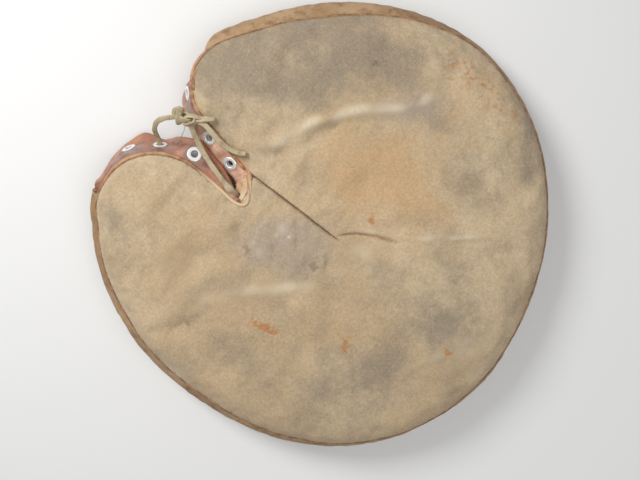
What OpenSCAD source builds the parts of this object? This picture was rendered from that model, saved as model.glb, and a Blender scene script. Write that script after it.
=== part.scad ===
// Laced leather belly pad.
// Two leather faces and a side band are sewn round a stuffed core. A notch in the rim splits the
// pad into two lobes, and a leather lace runs through metal eyelets in the notch's facings.
// The pad folds towards its front face along the line from the notch to the opposite rim.
//
// Frame: the pad lies on its back face on Z = 0, front face up. The fold line runs along Y through
// the origin, and the notch is at +Y. "Left" is -X and "right" is +X. All sizes are in millimetres.

/* [Cover] */
// Mean radius of the pad
pad_r = 204; // [198:1:210]
// Thickness of the stuffed pad at its edge
pad_t = 46; // [44:1:50]
// Thickness of the cover leather
leather = 2.4; // [2:0.1:2.6]
// Thickness of the welt sewn into each seam
welt_t = 1.6; // [1.2:0.1:1.8]
// How far the welt stands out of its seam
welt_out = 1.2; // [0.8:0.1:1.4]
// How far the welt reaches into its seam
welt_in = 2.4; // [2:0.1:2.4]

/* [Outline] */
// Swell of the rim towards one side
swell_1 = 5.8; // [4:0.1:7]
// Swell of the rim on two opposite sides
swell_2 = 2.2; // [0:0.1:3]
// Swell of the rim on three sides
swell_3 = 5.8; // [4:0.1:7]

/* [Notch] */
// Distance from the pad's centre to the notch's inner end
crotch_y = 70; // [68:1:74]
// Width of the notch at its inner end
notch_w = 31; // [30:0.5:32]
// Corner radius of the left lobe
left_lobe_r = 60; // [58:1:62]
// Height of the left lobe's corner centre along Y
left_lobe_y = 120; // [119:0.5:121]
// Distance from the fold line to the right lobe's straight edge
right_edge = 3.5; // [3:0.1:4]
// Corner radius of the right lobe
right_lobe_r = 46.5; // [46:0.1:47.2]
// Height of the right lobe's corner centre along Y
right_lobe_y = 137; // [136:0.5:138]
// Slope of the walls round the lobes' corners, below horizontal
wall_slope = 69; // [66:1:72]
// Slope of the left flap at rest
left_flap_slope = 16; // [14:1:18]
// Slope of the right flap at rest
right_flap_slope = 35; // [34:1:38]
// Slope of the tab that closes the notch's inner end
tab_slope = 30; // [26:1:34]

/* [Filling] */
// Thickness of the canvas lining
canvas = 1; // [0.8:0.1:1.2]
// Thickness of each felt layer
felt = 6; // [4:0.5:8]

/* [Eyelets] */
// Radius of the hole through an eyelet
eyelet_hole_r = 3.25; // [3:0.05:3.3]
// Outer radius of an eyelet's flange and of its washer
eyelet_flange_r = 6.5; // [6:0.1:6.8]
// Wall of an eyelet's barrel
eyelet_wall = 0.5; // [0.4:0.05:0.6]
// Height of an eyelet's rolled flange
eyelet_flange_t = 0.8; // [0.6:0.1:1]
// Thickness of an eyelet's washer
washer_t = 0.7; // [0.5:0.1:0.9]

/* [Lace] */
// Radius of the lace, taken as round
lace_r = 2.2; // [2:0.1:2.4]

/* [Hidden] */

buff = "#c3ad88";
tan = "#a4855f";
red_brown = "#a87a63";
rawhide = "#b9a884";
nickel = "#d5d6d2";
felt_grey = "#8d8a80";
hair_brown = "#5a4636";
canvas_cream = "#d8ccb0";

$fn = 96;
outline_step = 5;   // degrees between outline points
fold_x = -1;        // middle of the gap between the two halves
fold_gap = 0.3;     // half of that gap
fill_gap = 0.2;     // gap between neighbouring layers
fill_fold_gap = 1;  // half of the gap in the filling at the fold line
far = 300;          // beyond the pad in any direction

seam_z = pad_t - leather - welt_t;   // top edge of the walls, flaps and band
band_z = leather + welt_t;           // bottom edge of the walls and band
left_lobe_c = [-notch_w - left_lobe_r, left_lobe_y];
right_lobe_c = [right_edge + right_lobe_r, right_lobe_y];

zone_y = crotch_y - 15;              // the walls' and flaps' zone starts below the notch's inner end
lining_in = leather + fill_gap;            // inset of the lining from the outline
fill_in = lining_in + canvas + fill_gap;   // inset of the filling from the outline
lining_z0 = leather + fill_gap;
lining_z1 = pad_t - leather - fill_gap;
fill_z0 = lining_z0 + canvas + fill_gap;
fill_z1 = lining_z1 - canvas - fill_gap;

// The walls' eyelets: direction round the lobe's corner, and distance down the wall from the seam.
left_wall_stations = [[63, 24], [38, 19.5]];
right_wall_station = [137, 12];
// The flaps' eyelets: position along Y, and distance down the flap from the seam.
left_flap_station = [131, 8.8];
right_flap_stations = [[131, 8.8], [103, 14.8]];
// The tab's place on the notch's inner end, and the lace's hole in the tab's own plane.
tab_p = [-20, crotch_y];
tab_hole = [-5.5, 11.5];
tab_hole_r = 2.8;
flap_root = 2;      // bare seam allowance between the hinge line and a flap
wall_len = 39.2;    // a wall's length down its slope
wall_half = 15;     // half of a wall's length along the seam
knot_c = [-3, 154, 52.6];
knot_turn = -52;    // direction of the knot's long side, in degrees from +X

function polar(r, a) = [r * cos(a), r * sin(a)];

// The rim: a circle with three small swells.
function rim(a, inset) = pad_r - inset + swell_1 * cos(a - 5) + swell_2 * cos(2 * (a + 33))
    + swell_3 * cos(3 * (a - 3));

function rim_points(inset, a0, a1) = [for (a = [a0 : outline_step : a1]) polar(rim(a, inset), a)];

function corner_points(c, r, a0, a1) = [for (a = [a0 : outline_step : a1]) c + polar(r, a)];

// Plan of the left half, with its notch edge and rim moved in by inset: the notch's inner end,
// its straight side, the lobe's rounded corner, then the rim.
module left_plan(inset, gap = fold_gap) {
    x = -notch_w - inset;
    difference() {
        polygon(concat([[0, crotch_y - inset], [x, crotch_y - inset]],
            corner_points(left_lobe_c, left_lobe_r - inset, 0, 125), rim_points(inset, 130, 275)));
        translate([fold_x - gap, -far]) square([far, 2 * far]);
    }
}

// Plan of the right half: the rim, the lobe's rounded corner, then the lobe's straight edge.
module right_plan(inset, gap = fold_gap) {
    x = right_edge + inset;
    difference() {
        polygon(concat(rim_points(inset, -95, 60), corner_points(right_lobe_c, right_lobe_r - inset, 70, 180),
            [[x, crotch_y - inset], [-notch_w / 2, crotch_y - inset]]));
        translate([fold_x + gap - far, -far]) square([far, 2 * far]);
    }
}

module plan(side, inset, gap = fold_gap) {
    if (side == "left") left_plan(inset, gap);
    else right_plan(inset, gap);
}

module layer(side, inset, z0, z1, gap = fold_gap) {
    translate([0, 0, z0]) linear_extrude(z1 - z0) plan(side, inset, gap);
}

// Where the sewn walls and flaps take the place of the band.
module notch_zone(side) {
    if (side == "left")
        polygon([left_lobe_c, left_lobe_c + polar(far, 88), [0, far], [0, zone_y],
            [left_lobe_c.x, zone_y]]);
    else
        polygon([right_lobe_c, right_lobe_c + polar(far, 117), [-far, far], [-far, zone_y],
            [right_lobe_c.x, zone_y]]);
}

module front_panel(side) color(buff) layer(side, 0, pad_t - leather, pad_t);

module back_panel(side) color(tan) layer(side, 0, 0, leather);

module edge_band(side) {
    color(tan)
    translate([0, 0, band_z]) linear_extrude(seam_z - band_z) difference() {
        plan(side, 0);
        plan(side, leather);
        notch_zone(side);
        translate([fold_x - leather, zone_y]) square([2 * leather + right_edge, far]);
    }
}

module welt(side, z0) {
    color(tan)
    translate([0, 0, z0]) linear_extrude(welt_t) difference() {
        plan(side, -welt_out);
        plan(side, welt_in, 0);
    }
}

// The lining is a bag round the filling. Each half of it is open at the fold line.
module canvas_lining(side) {
    color(canvas_cream) difference() {
        layer(side, lining_in, lining_z0, lining_z1, fill_fold_gap);
        layer(side, lining_in + canvas, lining_z0 + canvas, lining_z1 - canvas, 0);
    }
}

module filling(side, z0, z1, shade) color(shade) layer(side, fill_in, z0, z1, fill_fold_gap);

module felt_front(side) filling(side, fill_z1 - felt, fill_z1, felt_grey);

module hair_core(side) filling(side, fill_z0 + felt + fill_gap, fill_z1 - felt - fill_gap, hair_brown);

module felt_back(side) filling(side, fill_z0, fill_z0 + felt, felt_grey);

// Carries a child from its own plane to a seam at p: its +Y runs down the slope, away from the
// seam in direction dir, and its +Z is the leather's outer side.
module on_seam(p, dir, slope) {
    translate([p.x, p.y, seam_z]) rotate([0, 0, dir - 90]) rotate([-slope, 0, 0]) children();
}

// Where on_seam puts the point v.
function seam_point(p, dir, slope, v) =
    let (out = v.y * cos(slope) + v.z * sin(slope), up = v.z * cos(slope) - v.y * sin(slope))
    [p.x + v.x * sin(dir) + out * cos(dir), p.y - v.x * cos(dir) + out * sin(dir), seam_z + up];

module on_left_wall(dir) on_seam(left_lobe_c + polar(left_lobe_r, dir), dir, wall_slope) children();

module on_right_wall(dir) on_seam(right_lobe_c + polar(right_lobe_r, dir), dir, wall_slope) children();

module on_left_flap() on_seam([-notch_w, 0], 0, left_flap_slope) children();

module on_right_flap() on_seam([right_edge, 0], 180, right_flap_slope) children();

module sheet() translate([0, 0, -leather]) linear_extrude(leather) children();

// The hole that an eyelet's barrel sits in.
module eyelet_seat() translate([0, 0, -2 * leather]) cylinder(h = 3 * leather, r = eyelet_hole_r + eyelet_wall + 0.05);

module wall_sheet() sheet() translate([-wall_half, 0]) square([2 * wall_half, wall_len]);

module notch_wall_left() {
    color(red_brown) difference() {
        union() for (s = left_wall_stations) on_left_wall(s[0]) wall_sheet();
        for (s = left_wall_stations) on_left_wall(s[0]) translate([0, s[1]]) eyelet_seat();
    }
}

module notch_wall_right() {
    s = right_wall_station;
    color(red_brown) on_right_wall(s[0]) difference() {
        wall_sheet();
        translate([0, s[1]]) eyelet_seat();
    }
}

module left_flap() {
    s = left_flap_station;
    color(red_brown) on_left_flap() difference() {
        sheet() polygon([[-88, flap_root], [-139, flap_root], [-143, 8], [-140, 19], [-117, 16.5],
            [-94, 11.5], [-88, 9]]);
        translate([-s[0], s[1]]) eyelet_seat();
    }
}

module right_flap() {
    color(red_brown) on_right_flap() difference() {
        sheet() polygon([[88, flap_root], [140, flap_root], [141, 15], [131, 18], [117, 23],
            [94, 28], [88, 27]]);
        for (s = right_flap_stations) translate([s[0], s[1]]) eyelet_seat();
    }
}

// Barrel with a rolled flange on the leather's outer side and a clenched lip behind the washer.
module eyelet() {
    barrel_r = eyelet_hole_r + eyelet_wall;
    back = -leather - washer_t;
    color(nickel) rotate_extrude() polygon([
        [eyelet_hole_r, back - eyelet_wall], [barrel_r + 1.2, back - eyelet_wall], [barrel_r + 1.2, back],
        [barrel_r, back], [barrel_r, 0], [eyelet_flange_r, 0], [eyelet_flange_r, eyelet_flange_t * 0.4],
        [eyelet_flange_r - 0.8, eyelet_flange_t], [barrel_r, eyelet_flange_t], [eyelet_hole_r, eyelet_flange_t * 0.5]
    ]);
}

module washer() {
    color(nickel) translate([0, 0, -leather - washer_t]) difference() {
        cylinder(h = washer_t, r = eyelet_flange_r);
        translate([0, 0, -1]) cylinder(h = washer_t + 2, r = eyelet_hole_r + eyelet_wall + 0.05);
    }
}

module at_left_wall_eyelets() for (s = left_wall_stations) on_left_wall(s[0]) translate([0, s[1]]) children();

module at_right_wall_eyelet()
    on_right_wall(right_wall_station[0]) translate([0, right_wall_station[1]]) children();

module at_left_flap_eyelet()
    on_left_flap() translate([-left_flap_station[0], left_flap_station[1]]) children();

module at_right_flap_eyelets()
    for (s = right_flap_stations) on_right_flap() translate([s[0], s[1]]) children();

// The tab closes the notch's inner end, and the lace is drawn through its hole.
module on_tab() on_seam(tab_p, 90, tab_slope) children();

module notch_tab() {
    color(tan) on_tab() difference() {
        sheet() polygon([[-10, 1.5], [11, 1.5], [9, 16], [-10, 17]]);
        translate([tab_hole.x, tab_hole.y, -2 * leather]) cylinder(h = 3 * leather, r = tab_hole_r);
    }
}

module notch_tab_stitches() {
    color(canvas_cream) on_tab() for (x = [-8 : 3.4 : 9])
        translate([x, 3.4, 0.45]) rotate([0, 90, 0]) cylinder(h = 2.2, r = 0.45);
}

// A lace through the given points.
module cord(pts) {
    for (k = [0 : len(pts) - 2]) hull() {
        translate(pts[k]) sphere(lace_r, $fn = 16);
        translate(pts[k + 1]) sphere(lace_r, $fn = 16);
    }
}

// A trefoil drawn out along X.
function knot_point(t) = [5.2 * (sin(t) + 2 * sin(2 * t)), 2.1 * (cos(t) - 2 * cos(2 * t)), -3.4 * sin(3 * t)];

module lace_knot() {
    color(rawhide) translate(knot_c) rotate([0, 0, knot_turn])
        cord([for (t = [0 : 15 : 360]) knot_point(t)]);
}

// The points of a lace that passes straight through a hole at s on a seam's plane.
function through_hole(p, dir, slope, s, above, below) =
    [for (z = [above, -below]) seam_point(p, dir, slope, [s.x, s.y, z])];

module lace_loop() {
    s = left_wall_stations[1];
    p = left_lobe_c + polar(left_lobe_r, s[0]);
    color(rawhide) cord(concat(
        [[-15.5, 172, 51], [-22, 175.5, 48], [-29, 174, 40], [-32.5, 169.5, 31]],
        through_hole(p, s[0], wall_slope, [0, s[1]], 5, 7)
    ));
}

module lace_run() {
    color(rawhide) cord(concat(
        [[-9, 143, 43.6], [-17, 124, 42.4], [-23, 108, 44], [-25.5, 95, 45]],
        through_hole(tab_p, 90, tab_slope, tab_hole, 7.5, 5)
    ));
}

module lace_tail() color(rawhide) cord([[4.6, 136, 49.4], [1.5, 117, 48.6], [5, 105.5, 48.6], [8.5, 98.5, 48.6]]);

front_panel("right");  // front_panel_right
front_panel("left");  // front_panel_left
back_panel("right");  // back_panel_right
back_panel("left");  // back_panel_left
edge_band("right");  // edge_band_right
edge_band("left");  // edge_band_left
welt("right", seam_z);  // front_welt_right
welt("left", seam_z);  // front_welt_left
welt("right", leather);  // back_welt_right
welt("left", leather);  // back_welt_left
canvas_lining("right");  // canvas_lining_right
canvas_lining("left");  // canvas_lining_left
felt_front("right");  // felt_front_right
felt_front("left");  // felt_front_left
hair_core("right");  // hair_core_right
hair_core("left");  // hair_core_left
felt_back("right");  // felt_back_right
felt_back("left");  // felt_back_left
notch_wall_right();
notch_wall_left();
right_flap();
left_flap();
at_right_wall_eyelet() eyelet();  // right_wall_eyelet
at_right_wall_eyelet() washer();  // right_wall_washer
at_left_wall_eyelets() eyelet();  // left_wall_eyelets
at_left_wall_eyelets() washer();  // left_wall_washers
at_right_flap_eyelets() eyelet();  // right_flap_eyelets
at_right_flap_eyelets() washer();  // right_flap_washers
at_left_flap_eyelet() eyelet();  // left_flap_eyelet
at_left_flap_eyelet() washer();  // left_flap_washer
notch_tab();
notch_tab_stitches();
lace_knot();
lace_loop();
lace_run();
lace_tail();
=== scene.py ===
"""Looks of the laced leather belly pad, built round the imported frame.

Lengths are in millimetres in the frame's axes, and become metres when a mesh is made.
The pad lies on its back with +Z out of its face. The notch is at +Y, between the left lobe (-X) and
the right lobe (+X), and the pad folds about the Y axis.
"""
import math
import bpy
import numpy as np
from mathutils import Matrix, Vector
from mathutils.geometry import delaunay_2d_cdt


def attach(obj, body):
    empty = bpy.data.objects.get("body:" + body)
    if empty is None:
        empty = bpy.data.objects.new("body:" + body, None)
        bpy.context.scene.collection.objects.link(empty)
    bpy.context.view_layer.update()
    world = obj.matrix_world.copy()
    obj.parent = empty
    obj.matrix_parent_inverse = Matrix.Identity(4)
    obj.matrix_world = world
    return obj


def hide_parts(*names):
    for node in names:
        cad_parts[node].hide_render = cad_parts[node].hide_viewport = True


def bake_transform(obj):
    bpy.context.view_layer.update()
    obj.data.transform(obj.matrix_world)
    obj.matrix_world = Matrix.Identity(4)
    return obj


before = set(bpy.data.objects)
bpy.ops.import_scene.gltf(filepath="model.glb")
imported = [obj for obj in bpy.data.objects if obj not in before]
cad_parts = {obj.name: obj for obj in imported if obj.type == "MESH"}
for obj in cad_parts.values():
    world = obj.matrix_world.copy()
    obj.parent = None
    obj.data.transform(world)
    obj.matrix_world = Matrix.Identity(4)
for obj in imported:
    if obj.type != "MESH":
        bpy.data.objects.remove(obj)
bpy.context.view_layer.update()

MM = 0.001
STEP = 5.0            # spacing of the body's mesh before it is subdivided
LEATHER, LINING, FELT = 2.4, 1.0, 6.0   # thicknesses
GAP = 0.3             # between the inside layers
SEAM_Z = 43.0         # front seam above the floor
BACK_SEAM_Z = 7.0
LOWEST = 0.2          # the leather never reaches below this height
LINING_END_Y = 171.0  # the notch's lining starts below this Y, well under the facings
NOTCH_RECESS = 5.0    # the notch's lining stands back this far, clear of the flexed flaps
NOTCH_SLOPE = 1.5     # and its back seam stands back this far
CROWN = 11.5          # rise of the face above its seam
CROWN_REACH = 42.0    # how far in from the seam the crown goes on rising
CREASE_DEPTH = 5.5
RIGHT_BANK, LEFT_BANK = 3.4, 0.9   # reach of the fold's round right bank and its sharp left one
LEFT_SINK, SINK_REACH = 2.0, 30.0  # how far the left side lies lower, and how far from the fold
BAND_ROWS = 9
ROW_RISE = 0.866      # a row of even-sided triangles is this much of its side high
BACK_INSET = 6.8      # back seam in from the widest line of the band
# How far the front seam lies in from the widest line, by direction from the middle in degrees.
SEAM_INSETS = ((0, 6.0), (20, 11.4), (42, 16), (80, 12.5), (132, 10.2), (190, 12), (222, 8.8),
               (270, 6.6), (312, 5.0), (360, 6.0))
RIM_FROM, RIM_TO = 129, 425       # directions between which the rim has no notch
FACE, BAND, BACK, NOTCH = range(4)   # tags of the body's faces


# ---------------- points and lines

def polar(radius, degrees):
    """Points at a distance and in directions from the origin."""
    a = np.radians(degrees)
    return np.stack([radius * np.cos(a), radius * np.sin(a)], -1)


RIPPLE_WAVES = 9


def ripple(points, wavelength, seed):
    """Smooth noise of about unit size: a sum of cosines in random directions."""
    rng = np.random.RandomState(seed)
    total = np.zeros(len(points))
    for _ in range(RIPPLE_WAVES):
        direction = rng.normal(size=points.shape[1])
        direction /= np.linalg.norm(direction)
        k = 2 * math.pi / (wavelength * rng.uniform(0.7, 1.5))
        total += np.cos(points @ direction * k + rng.uniform(0, 2 * math.pi))
    return total / math.sqrt(RIPPLE_WAVES / 2)


def ease(x, low, high):
    """0 below low, 1 above high, smooth between."""
    t = np.clip((np.asarray(x, float) - low) / (high - low), 0, 1)
    return t * t * (3 - 2 * t)


def lengths(line):
    """How far along a line each of its points lies."""
    return np.r_[0, np.cumsum(np.linalg.norm(np.diff(line, axis=0), axis=1))]


def points_at(line, length, at):
    return np.stack([np.interp(at, length, column) for column in line.T], -1)


def resample(loop, step):
    """A closed loop again, with its points evenly spaced in plan."""
    loop = np.vstack([loop, loop[:1]])
    length = lengths(loop[:, :2])
    count = int(round(length[-1] / step))
    return points_at(loop, length, np.linspace(0, length[-1], count + 1)[:-1])


def spline(points, per_span=12):
    """Catmull-Rom curve through the points."""
    p = np.asarray(points, float)
    p = np.vstack([2 * p[0] - p[1], p, 2 * p[-1] - p[-2]])
    out = []
    t = np.linspace(0, 1, per_span, endpoint=False)[:, None]
    for a, b, c, d in zip(p[:-3], p[1:-2], p[2:-1], p[3:]):
        out.append(0.5 * (2 * b + (c - a) * t + (2 * a - 5 * b + 4 * c - d) * t ** 2
                          + (3 * b - a - 3 * c + d) * t ** 3))
    return np.vstack(out + [p[-2:-1]])


def arc(line, count):
    """An open line again, with its points evenly spaced in space."""
    length = lengths(line)
    return points_at(line, length, np.linspace(0, length[-1], count))


def nearest(points, line, closed=False):
    """Distance from each point to a polyline, the nearest point, and how far along it lies."""
    a = line if closed else line[:-1]
    b = np.roll(line, -1, 0) if closed else line[1:]
    ab = b - a
    size = np.maximum((ab ** 2).sum(1), 1e-9)
    start = np.r_[0, np.cumsum(np.sqrt(size))[:-1]]
    best = np.full(len(points), 1e9)
    foot = np.zeros_like(points)
    along = np.zeros(len(points))
    for k in range(len(a)):
        t = np.clip(((points - a[k]) @ ab[k]) / size[k], 0, 1)
        q = a[k] + t[:, None] * ab[k]
        d = np.linalg.norm(points - q, axis=1)
        closer = d < best
        best[closer], foot[closer] = d[closer], q[closer]
        along[closer] = start[k] + t[closer] * math.sqrt(size[k])
    return best, foot, along


def inside(points, loop):
    """Which points lie within a closed loop, by how many of its edges are to their right."""
    x, y = points.T
    hit = np.zeros(len(points), bool)
    for (x0, y0), (x1, y1) in zip(loop, np.roll(loop, -1, 0)):
        crosses = (y0 > y) != (y1 > y)
        if crosses.any() and y1 != y0:
            hit ^= crosses & (x < (x1 - x0) * (y - y0) / (y1 - y0) + x0)
    return hit


# ---------------- the frame's measures

def vertex_values(mesh, key):
    values = np.zeros(len(mesh.vertices) * 3)
    mesh.vertices.foreach_get(key, values)
    return values.reshape(-1, 3)


def node_points(name):
    return vertex_values(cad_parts[name].data, "co") / MM


def rim_table():
    """Angle and radius of the pad's rim, from the back panel's outline."""
    p = np.vstack([node_points("back_panel_left"), node_points("back_panel_right")])
    radius = np.hypot(p[:, 0], p[:, 1])
    angle = np.degrees(np.arctan2(p[:, 1], p[:, 0])) % 360
    keep = (radius > 0.85 * radius.max()) & ((angle < 62) | (angle > RIM_FROM))
    order = np.argsort(angle[keep])
    return angle[keep][order], radius[keep][order]


RIM_A, RIM_R = rim_table()


def rim(degrees):
    return np.interp(np.asarray(degrees) % 360, RIM_A, RIM_R, period=360)


def seam_inset(degrees):
    return np.interp(np.asarray(degrees) % 360, *zip(*SEAM_INSETS))


WASHER_GAP = 0.35


def rings(node):
    """Centre and outward normal of each washer in a node, at the leather's outer side."""
    p = node_points(node)
    axis = np.argmax(np.ptp(p, axis=0))
    order = np.sort(p[:, axis])
    gap = np.argmax(np.diff(order))
    cut = (order[gap] + order[gap + 1]) / 2
    groups = [p[p[:, axis] < cut], p[p[:, axis] >= cut]] if order[gap + 1] - order[gap] > 5 else [p]
    found = []
    for g in groups:
        g = np.unique(g.round(3), axis=0)
        centre = (g.max(0) + g.min(0)) / 2
        normal = np.linalg.svd(g - g.mean(0))[2][2]
        normal *= np.sign(normal[2])
        found.append((centre + normal * (LEATHER + WASHER_GAP), normal))
    return sorted(found, key=lambda ring: -ring[0][1])


# ---------------- meshes

def add_mesh(name, points, faces):
    mesh = bpy.data.meshes.new(name)
    mesh.from_pydata((np.asarray(points) * MM).tolist(), [], [list(map(int, f)) for f in faces])
    mesh.validate()
    mesh.update()
    obj = bpy.data.objects.new(name, mesh)
    bpy.context.scene.collection.objects.link(obj)
    mesh.shade_smooth()
    return obj


def coords(obj):
    return vertex_values(obj.data, "co") / MM


def set_coords(obj, points):
    obj.data.vertices.foreach_set("co", (points * MM).astype(np.float32).ravel())
    obj.data.update()


def bake_modifiers(obj):
    """Replaces the mesh by what its modifiers make of it."""
    bpy.context.view_layer.update()
    made = bpy.data.meshes.new_from_object(obj.evaluated_get(bpy.context.evaluated_depsgraph_get()))
    obj.modifiers.clear()
    obj.data = made


def solidify(obj, thickness):
    mod = obj.modifiers.new("thickness", "SOLIDIFY")
    mod.thickness = thickness * MM
    mod.offset = -1
    mod.use_even_offset = False


def sweep(path, section, up=(0, 0, 1), twist=None, taper=None):
    """Tube with the given cross-section along a path, closed by end caps."""
    path = np.asarray(path, float)
    n, m = len(path), len(section)
    tangent = np.gradient(path, axis=0)
    tangent /= np.linalg.norm(tangent, axis=1)[:, None]
    side = np.cross(tangent[0], up)
    side /= np.linalg.norm(side)
    points = []
    for k in range(n):
        side = side - (side @ tangent[k]) * tangent[k]
        side /= np.linalg.norm(side)
        over = np.cross(side, tangent[k])
        angle = 0.0 if twist is None else twist[k]
        grow = 1.0 if taper is None else taper[k]
        u = side * math.cos(angle) + over * math.sin(angle)
        v = over * math.cos(angle) - side * math.sin(angle)
        points.append(path[k] + grow * (section[:, :1] * u + section[:, 1:] * v))
    points = np.vstack(points + [path[:1], path[-1:]])
    faces = []
    for k in range(n - 1):
        for j in range(m):
            a, b = k * m + j, k * m + (j + 1) % m
            faces.append((a, b, b + m, a + m))
    for j in range(m):
        faces.append((j, n * m, (j + 1) % m))
        faces.append(((n - 1) * m + (j + 1) % m, n * m + 1, (n - 1) * m + j))
    return points, faces


def round_section(radius, count=10):
    return polar(radius, np.linspace(0, 360, count, endpoint=False))


def flat_section(width, thick):
    """A thong's rounded rectangle."""
    c, s = round_section(1, 14).T
    return np.stack([width / 2 * np.sign(c) * abs(c) ** 0.6, thick / 2 * np.sign(s) * abs(s) ** 0.7], -1)


# ---------------- outline of the face

LEFT_C, LEFT_R = np.array([-87.5, 119.3]), 56.0      # the lobes' rounded corners
RIGHT_C, RIGHT_R = np.array([50.6, 136.8]), 45.5
CORNER_DIP = 3.5                                     # how far they flatten towards the rim
CROTCH = np.array([-2.4, 85.0])                      # where the fold leaves the notch
NOTCH_EDGE = [(3.6, 122), (1.4, 110), (-0.9, 98), CROTCH, (-10, 76.5), (-25, 65), (-32, 72), (-31.6, 92)]
CREASE_END = -17.0


def outline():
    """The front seam in plan, as x, y and how far it belongs to the notch (1) or the rim (0)."""
    right_dirs = np.arange(66, 181, 4.0)
    right = RIGHT_C + polar(RIGHT_R - CORNER_DIP * (1 - ease(right_dirs, 66, 115)), right_dirs)
    left_dirs = np.arange(0, 125, 4.0)
    left = LEFT_C + polar(LEFT_R - CORNER_DIP * ease(left_dirs, 60, 125), left_dirs)
    rim_dirs = np.arange(RIM_FROM, RIM_TO, 3.0)
    around = polar(rim(rim_dirs) - seam_inset(rim_dirs), rim_dirs)
    parts = [(right, ease(right_dirs, 74, 112)), (np.array(NOTCH_EDGE), np.ones(len(NOTCH_EDGE))),
             (left, 1 - ease(left_dirs, 78, 106)), (around, np.zeros(len(around)))]
    line = resample(np.vstack([np.column_stack(part) for part in parts]), STEP * 0.9)
    line = smooth_loop(line, 2)
    wander = ripple(line[:, :2], 120, 3) * 0.4 + ripple(line[:, :2], 45, 4) * 0.1
    away = line_normals(line[:, :2])
    line[:, :2] += away * (wander * (1 - line[:, 2]))[:, None]
    return line


def line_normals(loop):
    """Outward normals of a closed counter-clockwise loop."""
    t = np.roll(loop, -1, 0) - np.roll(loop, 1, 0)
    n = np.stack([t[:, 1], -t[:, 0]], -1)
    return n / np.linalg.norm(n, axis=1)[:, None]


def smooth_loop(values, rounds):
    """Values round a closed loop, each drawn towards its neighbours."""
    for _ in range(rounds):
        values = (np.roll(values, 1, 0) + 2 * values + np.roll(values, -1, 0)) / 4
    return values


def crease_x(y):
    """The fold's line: nearly straight, with a slight bow, and hooked at its inner end."""
    hook = 1.8 * (1 - ease(y, CREASE_END - 3, CREASE_END + 9))
    return 4.6 - 0.083 * y + 0.6 * np.sin((y + 14) / 31) + hook


def within(points, loop, clear):
    """The points that lie inside a loop and clear of it."""
    points = points[inside(points, loop)]
    return points[nearest(points, loop, True)[0] > clear]


def fill(loop, points, chain=()):
    """Triangles inside a loop, through more points and along a chain of them: places, faces, loop."""
    n = len(loop)
    edges = [(k, (k + 1) % n) for k in range(n)] + list(zip(chain[:-1], chain[1:]))
    everything = [Vector(p) for p in np.vstack([loop, points])]
    flat, _, faces, sources, _, _ = delaunay_2d_cdt(everything, edges, [list(range(n))], 1, 1e-6)
    place = {old: new for new, olds in enumerate(sources) for old in olds}
    return np.array([tuple(v) for v in flat]), [tuple(f) for f in faces], [place[k] for k in range(n)]


def triangulate(loop, crease):
    """Plan mesh inside the loop, with vertices along both creases and in rows beside them."""
    second = spline(SECOND_CREASE, 5)
    rows = [crease + [away, 0] for away in (-5.5, -2.2, -0.7, 0.7, 2.2, 5.0)]
    rows += [second + np.array([0.8, 0.6]) * away for away in (-2.6, -0.9, 0, 0.9, 2.6)]
    x = np.arange(loop[:, 0].min(), loop[:, 0].max(), STEP)
    y = np.arange(loop[:, 1].min(), loop[:, 1].max(), STEP * ROW_RISE)
    grid = np.array([(a + (k % 2) * STEP / 2, b) for k, b in enumerate(y) for a in x])
    grid = within(grid, loop, STEP * 0.6)
    grid = grid[(nearest(grid, crease)[0] > 8.5) & (nearest(grid, second)[0] > 4.5)]
    start = int(np.argmin(np.linalg.norm(loop - crease[0], axis=1)))
    chain = [start] + list(range(len(loop), len(loop) + len(crease) - 1))
    return fill(loop, np.vstack([crease[1:], within(np.vstack(rows), loop, 1.0), grid]), chain)


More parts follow.
